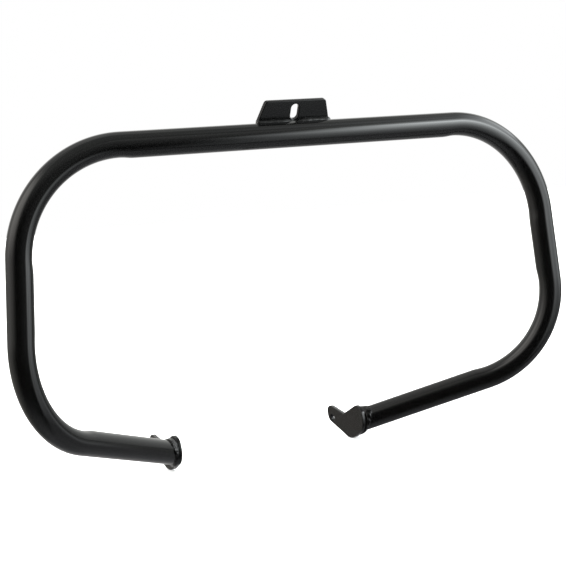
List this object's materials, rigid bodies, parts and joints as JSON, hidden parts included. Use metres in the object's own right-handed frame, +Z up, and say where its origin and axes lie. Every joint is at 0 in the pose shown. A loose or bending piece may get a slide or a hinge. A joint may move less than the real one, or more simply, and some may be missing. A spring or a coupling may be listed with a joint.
{
  "type": "motorcycle engine guard",
  "caption": "Welded tube hoop that bolts to the front of a motorcycle frame to guard the engine, with a slotted top bracket and drilled end plates.",
  "frame": {"origin": "centre of the top bracket's slot, on the bracket's rear face, which bolts to the motorcycle's frame", "axes": "+X to the rider's left, across the hoop; +Y to the rear of the motorcycle; +Z up, in the plane of the hoop"},
  "size_m": [0.7722, 0.2496, 0.464],
  "materials": {
    "gloss_black": "gloss black powder coat over welded steel"
  },
  "bodies": {
    "root": {"guard_tube": "gloss_black", "top_bracket": "gloss_black", "left_end_plate": "gloss_black", "right_end_plate": "gloss_black", "bracket_front_weld": "gloss_black", "bracket_rear_weld": "gloss_black", "left_end_weld": "gloss_black", "right_end_weld": "gloss_black"}
  },
  "joints": []
}
